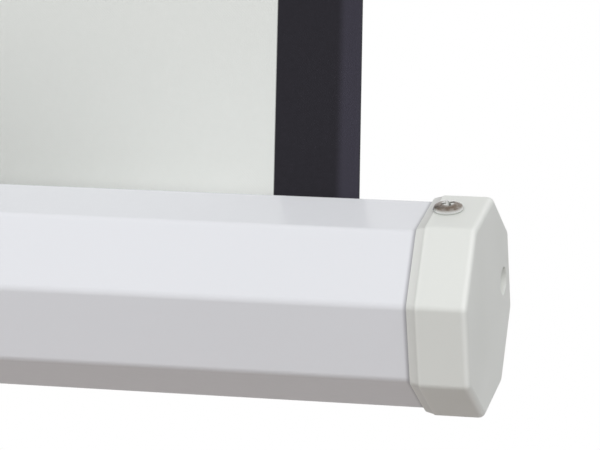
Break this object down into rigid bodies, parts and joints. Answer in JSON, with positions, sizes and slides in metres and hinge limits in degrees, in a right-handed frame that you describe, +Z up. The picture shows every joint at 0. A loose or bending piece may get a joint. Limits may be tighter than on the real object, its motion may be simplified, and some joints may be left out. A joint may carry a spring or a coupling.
{
  "type": "tripod projector screen",
  "caption": "Portable tripod projection screen: octagonal roller case, matte cloth with black side borders, telescopic mast and folding channel legs.",
  "frame": {"origin": "on the floor, at the bottom centre of the bounding box of the opened screen", "axes": "+Z up along the column, +X along the case to the pictured end, +Y to the rear leg"},
  "size_m": [1.428, 0.7517, 2.5005],
  "materials": {
    "case_enamel": "white gloss enamel on rolled sheet",
    "end_cap_plastic": "warm off-white moulded plastic, satin",
    "fitting_plastic": "warm off-white moulded plastic, satin",
    "screen_cloth": "matte white coated cloth with black side borders",
    "slat_enamel": "white gloss enamel",
    "column_enamel": "white gloss enamel",
    "leg_enamel": "white gloss enamel",
    "nickel_screw": "nickel plate",
    "mast_aluminium": "drawn tube, bare",
    "zinc_steel": "zinc plate",
    "dark_plastic": "black moulded plastic",
    "foot_rubber": "black rubber"
  },
  "bodies": {
    "stand": {"column_tube": "column_enamel", "column_plug": "dark_plastic", "lower_hub": "fitting_plastic", "mast_clamp": "fitting_plastic", "hub_rivet_1": "zinc_steel", "hub_rivet_2": "zinc_steel", "hub_rivet_3": "zinc_steel"},
    "mast": {"mast_tube": "mast_aluminium", "mast_guide": "dark_plastic", "mast_top": "fitting_plastic"},
    "mast_clamp_screw": {"mast_clamp_knob": "dark_plastic", "mast_clamp_stud": "zinc_steel"},
    "carrier": {"case_carrier": "fitting_plastic", "swivel_pin": "zinc_steel"},
    "case_clamp_screw": {"case_clamp_knob": "dark_plastic", "case_clamp_stud": "zinc_steel"},
    "case": {"case_housing": "case_enamel", "right_end_cap": "end_cap_plastic", "left_end_cap": "end_cap_plastic", "right_cap_screw": "nickel_screw", "left_cap_screw": "nickel_screw", "case_saddle": "slat_enamel", "spring_arbor": "zinc_steel", "roller_spring": "zinc_steel", "screen_fabric": "screen_cloth"},
    "roller": {"roller_tube": "mast_aluminium", "fabric_winding": "screen_cloth", "idler_plug": "dark_plastic", "spring_plug": "dark_plastic"},
    "slat": {"top_slat": "slat_enamel", "right_slat_plug": "end_cap_plastic", "left_slat_plug": "end_cap_plastic", "bail_bracket": "fitting_plastic"},
    "bail": {"hanging_bail": "zinc_steel"},
    "leg_collar": {"leg_collar": "fitting_plastic"},
    "brace_1": {"brace_1": "leg_enamel", "knee_rivet_1": "zinc_steel"},
    "leg_1": {"leg_1": "leg_enamel", "foot_1": "foot_rubber", "collar_rivet_1": "zinc_steel"},
    "brace_2": {"brace_2": "leg_enamel", "knee_rivet_2": "zinc_steel"},
    "leg_2": {"leg_2": "leg_enamel", "foot_2": "foot_rubber", "collar_rivet_2": "zinc_steel"},
    "brace_3": {"brace_3": "leg_enamel", "knee_rivet_3": "zinc_steel"},
    "leg_3": {"leg_3": "leg_enamel", "foot_3": "foot_rubber", "collar_rivet_3": "zinc_steel"}
  },
  "joints": [
    {"name": "leg_fold", "type": "hinge", "parent": "stand", "child": "brace_1", "pos_m": [0, -0.14445, 0.05825], "axis": [1, 0, 0], "range_deg": [0, 49]},
    {"name": "knee_1", "type": "hinge", "parent": "brace_1", "child": "leg_1", "pos_m": [0, 0.0762, 0.23064], "axis": [1, 0, 0], "range_deg": [-98, 0]},
    {"name": "brace_2_fold", "type": "hinge", "parent": "stand", "child": "brace_2", "pos_m": [0.03007, -0.18739, 0.05825], "axis": [-0.342, -0.9397, 0], "range_deg": [0, 49]},
    {"name": "knee_2", "type": "hinge", "parent": "brace_2", "child": "leg_2", "pos_m": [0.23741, -0.26286, 0.23064], "axis": [-0.342, -0.9397, 0], "range_deg": [-98, 0]},
    {"name": "brace_3_fold", "type": "hinge", "parent": "stand", "child": "brace_3", "pos_m": [-0.03007, -0.18739, 0.05825], "axis": [-0.342, 0.9397, 0], "range_deg": [0, 49]},
    {"name": "knee_3", "type": "hinge", "parent": "brace_3", "child": "leg_3", "pos_m": [-0.23741, -0.26286, 0.23064], "axis": [-0.342, 0.9397, 0], "range_deg": [-98, 0]},
    {"name": "collar_hinge", "type": "hinge", "parent": "leg_1", "child": "leg_collar", "pos_m": [0, -0.14445, 0.40302], "axis": [1, 0, 0], "range_deg": [0, 49]},
    {"name": "mast_extend", "type": "slide", "parent": "stand", "child": "mast", "axis": [0, 0, 1], "range_m": [-0.97, 0]},
    {"name": "mast_clamp_turn", "type": "hinge", "parent": "stand", "child": "mast_clamp_screw", "pos_m": [0, -0.17645, 1.43], "axis": [0, 1, 0], "range_deg": [-180, 0]},
    {"name": "case_height", "type": "slide", "parent": "stand", "child": "carrier", "axis": [0, 0, 1], "range_m": [-0.35, 0.2]},
    {"name": "case_clamp_turn", "type": "hinge", "parent": "carrier", "child": "case_clamp_screw", "pos_m": [0, -0.17645, 1.13], "axis": [0, 1, 0], "range_deg": [-180, 0]},
    {"name": "case_swivel", "type": "hinge", "parent": "carrier", "child": "case", "pos_m": [0, -0.24245, 1.13], "axis": [0, 1, 0], "range_deg": [0, 90]},
    {"name": "fabric_pull", "type": "slide", "parent": "case", "child": "slat", "axis": [0, 0, 1], "range_m": [-1.27, 0], "deforming": ["screen_fabric"]},
    {"name": "roller_spin", "type": "hinge", "parent": "case", "child": "roller", "pos_m": [0, -0.24245, 1.13], "axis": [1, 0, 0], "range_deg": [-3482.61, 0]},
    {"name": "bail_swing", "type": "hinge", "parent": "slat", "child": "bail", "pos_m": [0, -0.21795, 2.4618], "axis": [1, 0, 0], "range_deg": [0, 95]}
  ],
  "couplings": [
    {"joint": "knee_1", "follows": "leg_fold", "ratio": -2},
    {"joint": "brace_2_fold", "follows": "leg_fold", "ratio": 1},
    {"joint": "knee_2", "follows": "leg_fold", "ratio": -2},
    {"joint": "brace_3_fold", "follows": "leg_fold", "ratio": 1},
    {"joint": "knee_3", "follows": "leg_fold", "ratio": -2},
    {"joint": "collar_hinge", "follows": "leg_fold", "ratio": 1},
    {"joint": "roller_spin", "follows": "fabric_pull", "rad_per_m": 47.847}
  ]
}
